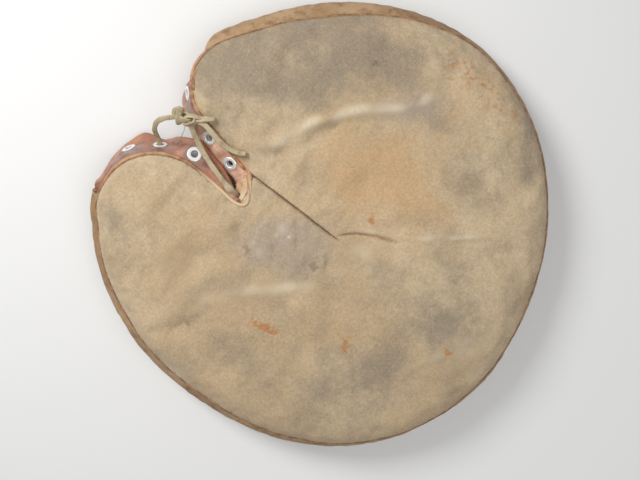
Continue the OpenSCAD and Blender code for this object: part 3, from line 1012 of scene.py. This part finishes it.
def paint_face(face, loop, crease):
    """Stains, wear, painted shade and painted highlights of the face, as layers for its material."""
    p = coords(face)[:, :2]
    x, y = p.T
    edge = nearest(p, loop, True)[0]
    gap = nearest(p, crease)[0]
    layers = {name: sum(strength * stain(p, *place) for strength, *place in table)
              for name, table in STAINS.items()}
    layers["grey_stain_and_shade"] += ALL_OVER_GREY
    # A painted highlight along the left lobe's edge.
    layers["pale"] += 0.7 * np.exp(-(edge / 4.0) ** 2) * (x < 0) * (0.4 + 0.6 * ease(y, 50, 75))
    # Ridges get pale wear with a painted highlight, creases painted shade.
    for line, width, _, ridge_wear_and_highlight, crease_shade in FOLDS:
        profile = fold_profile(p, line, width) * (0.8 + 0.35 * ripple(p, 22, 16))
        layers["pale"] += ridge_wear_and_highlight * profile
        layers["dark"] += crease_shade * profile
    # Painted shadow in the fold's slit and along the second crease.
    crease_shadow = np.exp(-(gap / 0.9) ** 2) * ease(y, CREASE_END - 2, CREASE_END + 12)
    layers["crease_shadow"] = np.maximum(crease_shadow, 0.62 * fold_profile(p, SECOND_CREASE, 0.8))
    # Painted shade and soil along the rim, stronger towards +X.
    layers["rim_soil_and_shade"] = 0.45 * np.exp(-(edge / 9.0) ** 2) * ease(x, -120, 60)
    paint(face, **layers)


MATERIALS = {"face_leather": suede(), "facing_leather": facing_skin(), "welt_leather": welt_skin()}
for slot, base, pale, dark, rough in (
        ("band_leather", (150, 117, 82), (174, 143, 106), (110, 78, 50), 0.62),
        ("back_leather", (158, 127, 93), (178, 148, 112), (120, 90, 62), 0.65),
        ("tab_leather", (186, 156, 116), (206, 182, 146), (176, 126, 82), 0.6),
        ("lace_leather", (160, 144, 112), (186, 170, 138), (118, 100, 70), 0.55)):
    MATERIALS[slot] = leather(slot, srgb(*base), srgb(*pale), srgb(*dark), rough)
for slot, base, dark, scale in (
        ("canvas", (196, 178, 144), (160, 134, 98), 1100), ("felt", (141, 138, 128), (104, 100, 92), 500),
        ("hair", (92, 72, 54), (48, 34, 26), 260), ("thread", (206, 192, 164), (150, 132, 104), 1600)):
    MATERIALS[slot] = cloth(slot, srgb(*base), srgb(*dark), scale)


def dress(obj, slot):
    """Gives a piece the material of a slot."""
    obj.data.materials.append(MATERIALS[slot])


# ---------------- the cover

def blend(obj):
    """Bakes a piece's placement into its mesh."""
    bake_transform(obj)


def fold(obj):
    """Bakes a piece's placement into its mesh, as blend does."""
    blend(obj)


def notch_share(chain):
    """1 along the notch's edge and 0 along the rim, smooth between."""
    line = outline()
    order = [int(np.argmin(((line[:, :2] - p[:2]) ** 2).sum(1))) for p in chain]
    return smooth_loop(line[order, 2], 6)


def add_welt(body, tag, name, swell):
    """Leather cord in the seam of a tag's faces, thicker along the notch by the swell given."""
    chain = seam_chain(body, tag)
    share = notch_share(chain)
    if tag == FACE:
        chain[:, :2] += line_normals(chain[:, :2]) * (1.1 * share)[:, None]
        chain[:, 2] += 0.2 * share
    chain = np.vstack([chain, chain[:1]])
    share = np.append(share, share[0])
    section = round_section(0.9)
    welt = add_mesh(name, *sweep(chain, section, taper=1 + swell * share))
    turned_over = share * (1 - ease(chain[:, 1], 96, 124)) * (1 - ease(chain[:, 0], -26, -8))
    at_mesh = list(np.repeat(np.arange(len(chain)), len(section))) + [0, len(chain) - 1]
    paint(welt, notch=share[at_mesh], pale=turned_over[at_mesh])
    dress(welt, "welt_leather")
    fold(welt)
    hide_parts(name + "_right", name + "_left")


body, held, loop, crease = build_body()
inflate(body, held, pressure=4.0, cap=6.0, frames=14)
subdivide(body)
face_features(body)

for tag, name, slot, thickness, node in (
        (FACE, "pad_front", "face_leather", LEATHER, "front_panel"),
        (BAND, "pad_band", "band_leather", LEATHER, "edge_band"),
        (BACK, "pad_back", "back_leather", LEATHER, "back_panel"),
        (NOTCH, "notch_lining", "canvas", LINING, None)):
    piece = piece_from(body, tag, name)
    if tag == FACE:
        paint_face(piece, loop, crease)
    dress(piece, slot)
    solidify(piece, thickness)
    fold(piece)
    if node:
        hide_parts(node + "_right", node + "_left")
add_welt(body, FACE, "front_welt", 0.9)
add_welt(body, BACK, "back_welt", 0.2)
bpy.data.objects.remove(body)

# ---------------- inside layers

SHELL = LEATHER + 2.6           # depth of the lining's outer side under the cover's
UNDER = SHELL + LINING + GAP    # depth of the felt's outer side
CORE = UNDER + FELT + GAP       # depth of the hair's

for name, slot, inset, low, high in (
        ("canvas_lining", "canvas", 7.0, lambda z: 0 * z + SHELL, lambda z: z - SHELL),
        ("felt_front", "felt", 8.5, lambda z: z - UNDER - FELT, lambda z: z - UNDER),
        ("hair_core", "hair", 9.0, lambda z: 0 * z + CORE, lambda z: z - CORE),
        ("felt_back", "felt", 8.5, lambda z: 0 * z + UNDER, lambda z: 0 * z + UNDER + FELT)):
    layer = slab(name, loop, crease, inset, low, high)
    dress(layer, slot)
    fold(layer)
    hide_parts(name + "_right", name + "_left")

# ---------------- facings, tab and lace in place

left_rings = rings("left_wall_washers") + rings("left_flap_washer")
right_rings = rings("right_wall_washer") + rings("right_flap_washers")
facing_left = facing("facing_left", LEFT_RIBS, loop, left_rings, 61)
facing_right = facing("facing_right", RIGHT_RIBS, loop, right_rings, 71)
# Painted light on the facings: the right one paler below Y 134, the left one a little paler below Y 84.
paint(facing_left, light=0.35 - 0.35 * ease(coords(facing_left)[:, 1], 84, 112))
paint(facing_right, light=1 - ease(coords(facing_right)[:, 1], 134, 156))
# The bend between a facing's wall and its flap starts and ends at these Y values.
for obj, side, bend_from, bend_to in ((facing_left, "left", 153, 139), (facing_right, "right", 162, 140)):
    dress(obj, "facing_leather")
    bake_modifiers(obj)
    blend(obj)
    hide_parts("notch_wall_" + side, side + "_flap")

TAB_HOLE = np.array([-25.5, 79.8, 36.4])
TAB_DOWN, TAB_OUT = run_down(90, 30)
tab = facing("tab", TAB_RIBS, loop, [(TAB_HOLE, TAB_OUT)], 81, thickness=2.2, wrinkle=0.15, clear=2.7)
dress(tab, "tab_leather")
bake_modifiers(tab)
fold(tab)
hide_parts("notch_tab")


def stitch(place):
    """A short bar of thread that dips into the tab at both ends."""
    along = np.array([1.0, 0.2, 0])
    bar = [place + along * reach + TAB_OUT * rise
           for reach, rise in ((-0.95, -0.5), (-0.6, 0.15), (0, 0), (0.6, 0.15), (0.95, -0.5))]
    return sweep(spline(bar, 3), round_section(0.42, 8))


def joined(parts):
    """Points and faces of several small meshes as those of one."""
    starts = np.cumsum([0] + [len(points) for points, _ in parts])
    faces = [tuple(v + start for v in f) for (_, part), start in zip(parts, starts) for f in part]
    return np.vstack([points for points, _ in parts]), faces


stitch_places = [np.array([-27.5 + 2.7 * k, 69.4 + 0.62 * k, FACING_Z]) + TAB_DOWN * 3.6 + TAB_OUT * 0.3
                 for k in range(7)]
tab_stitches = add_mesh("tab_stitches", *joined([stitch(place) for place in stitch_places]))
dress(tab_stitches, "thread")
fold(tab_stitches)
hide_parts("notch_tab_stitches")

KNOT_C = np.array([-2.0, 152.5, 51.2])
KNOT_TURN = math.radians(-56)


def knot_line():
    """A flat thong's overhand knot, drawn out along its own X and wide at its loop's end."""
    t = np.linspace(0, 2 * math.pi, 90, endpoint=False)
    x = 4.2 * (np.sin(t) + 2 * np.sin(2 * t))
    y = 1.7 * (np.cos(t) - 2 * np.cos(2 * t)) * (1 + 0.4 * np.tanh(-x / 8))
    c, s = math.cos(KNOT_TURN), math.sin(KNOT_TURN)
    ring = KNOT_C + np.stack([x * c - y * s, x * s + y * c, -2.5 * np.sin(3 * t)], -1)
    return np.vstack([ring, ring[:2]])


knot = [
    thong("knot_strands", knot_line(), 6.0, 2.3),
    thong("knot_stub", [(1, 148, 52.5), (5.5, 143.5, 53), (9.5, 139.5, 52), (12.4, 136, 50.6)], 5.6, 2.4,
          lean=0.4, taper=([0, 0.6, 1], [1, 0.95, 0.62])),
    thong("knot_wrap", [(-10.4, 156.4, 48.4), (-9.6, 157.8, 52.4), (-5.6, 160.6, 55.4), (-1.2, 163.2, 53.4),
                        (0.2, 163.6, 49.4), (-3.6, 160.6, 46.8), (-9.0, 160.6, 49.0), (-8.6, 164.0, 53.0),
                        (-4.2, 166.6, 53.0), (-2.2, 167.0, 49.2)], 5.4, 2.1, up=(0.5, 1, 0)),
    add_mesh("lace_thread", *sweep(spline([(-9, 151.5, 50), (-13, 149.5, 48.8), (-18, 148.8, 45),
                                           (-22.5, 147.6, 39)], 8), round_section(0.32, 6))),
]
for strand in knot:
    dress(strand, "lace_leather")
    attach(strand, "right_half")
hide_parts("lace_knot")

LOOP_HOLE, LOOP_OUT = left_rings[1]
loop_strand = thong("loop_strand", [
    (-4, 160, 50), (-9.8, 163.6, 51.0), (-15.8, 168.6, 51.4), (-21.4, 171.4, 50.2), (-26.2, 171.4, 46.4),
    (-30.6, 169.8, 39.6), LOOP_HOLE + LOOP_OUT * 6.5 + (-0.4, 1.4, 4.0), LOOP_HOLE + LOOP_OUT * 0.5,
    LOOP_HOLE - LOOP_OUT * 6, LOOP_HOLE - LOOP_OUT * 9], 4.6, 2.0, lean=0.3, turns=0.1)
run_strand = thong("run_strand", [
    (-3, 150, 50.5), (-7.2, 145, 47.6), (-12.6, 134.5, 44.6), (-16.6, 124, 43.6), (-20.3, 110.5, 44.4),
    (-22.8, 98, 44.8), (-24.6, 88, 43.8), TAB_HOLE + TAB_OUT * 2.8 + TAB_DOWN * 1.2,
    TAB_HOLE - TAB_OUT * 3.5, TAB_HOLE - TAB_OUT * 6], 5.0, 2.0, lean=0.25, turns=-0.1,
    taper=([0, 0.66, 0.8, 0.88, 1], [1, 1, 1.4, 1.2, 0.9]))
tail_strand = thong("tail_strand", [
    (1.5, 146, 51.6), (3.0, 139, 51.2), (2.0, 130, 50.2), (1.0, 121, 49.4), (1.4, 112, 49.0),
    (4.0, 103, 49.4), (8.2, 96.8, 49.6)], 4.9, 2.1, lean=-0.2, turns=0.12)
for strand, follower, start, end, node in (
        (loop_strand, "left_half", (-14, 0, 45), (-30, 0, 45), "lace_loop"),
        (run_strand, "left_half", (0, 146, 45), (0, 118, 45), "lace_run"),
        (tail_strand, "lace_tail", (0, 144, 50), (0, 130, 50), "lace_tail")):
    dress(strand, "lace_leather")
    blend(strand)
    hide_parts(node)

# ---------------- metal

nickel = metal()
for name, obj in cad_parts.items():
    if "eyelet" in name or "washer" in name:
        obj.data.materials.clear()
        obj.data.materials.append(nickel)

# ---------------- floor, light and camera

FLOOR_HALF = 3000
FLOOR_Z = -0.3
TARGET = Vector((-6.3, -2.9, 25)) * MM
DISTANCE = 0.627       # camera from the target, in metres
TILT, LEAN = 6.0, 55.0   # degrees that the camera leans from straight above, and towards which direction
UP_TURN = math.radians(48)   # the picture's up direction is this far from +Y, towards +X
UP = Vector((math.sin(UP_TURN), math.cos(UP_TURN), 0))
RIGHT = Vector((UP.y, -UP.x, 0))
SKY = (0.9, 0.93, 1.0, 1)


def floor():
    corners = [(a * FLOOR_HALF, b * FLOOR_HALF, FLOOR_Z) for a, b in ((-1, -1), (1, -1), (1, 1), (-1, 1))]
    obj = add_mesh("floor", corners, [(0, 1, 2, 3)])
    obj.data.materials.append(Nodes("floor").finish(srgb(226, 225, 222), 0.9, specular=0.2))


def area_light(name, away, size, power):
    data = bpy.data.lights.new(name, "AREA")
    data.shape = "DISK"
    data.size = size
    data.energy = power
    obj = bpy.data.objects.new(name, data)
    obj.location = TARGET + away
    obj.rotation_euler = (-away).to_track_quat("-Z", "Y").to_euler()
    bpy.context.scene.collection.objects.link(obj)


def sky(strength):
    world = bpy.data.worlds.new("world")
    world.use_nodes = True
    background = world.node_tree.nodes["Background"].inputs
    background["Color"].default_value = SKY
    background["Strength"].default_value = strength
    bpy.context.scene.world = world


def camera():
    data = bpy.data.cameras.new("camera")
    data.sensor_width = 36
    data.lens = data.sensor_width / 2 / math.tan(math.radians(25))
    obj = bpy.data.objects.new("camera", data)
    lean, turn = math.radians(TILT), math.radians(LEAN)
    back = Vector((math.sin(lean) * math.cos(turn), math.sin(lean) * math.sin(turn), math.cos(lean)))
    right = UP.cross(back).normalized()
    turned = Matrix((right, back.cross(right), back)).transposed().to_4x4()
    obj.matrix_world = Matrix.Translation(TARGET + back * DISTANCE) @ turned
    bpy.context.scene.collection.objects.link(obj)
    bpy.context.scene.camera = obj


floor()
area_light("key", UP * 0.55 - RIGHT * 0.6 + Vector((0, 0, 0.75)), 0.45, 8.8)
area_light("fill", RIGHT * 0.3 - UP * 0.3 + Vector((0, 0, 1.3)), 1.4, 8.6)
sky(0.3)
camera()
bpy.context.scene.view_settings.view_transform = "Standard"
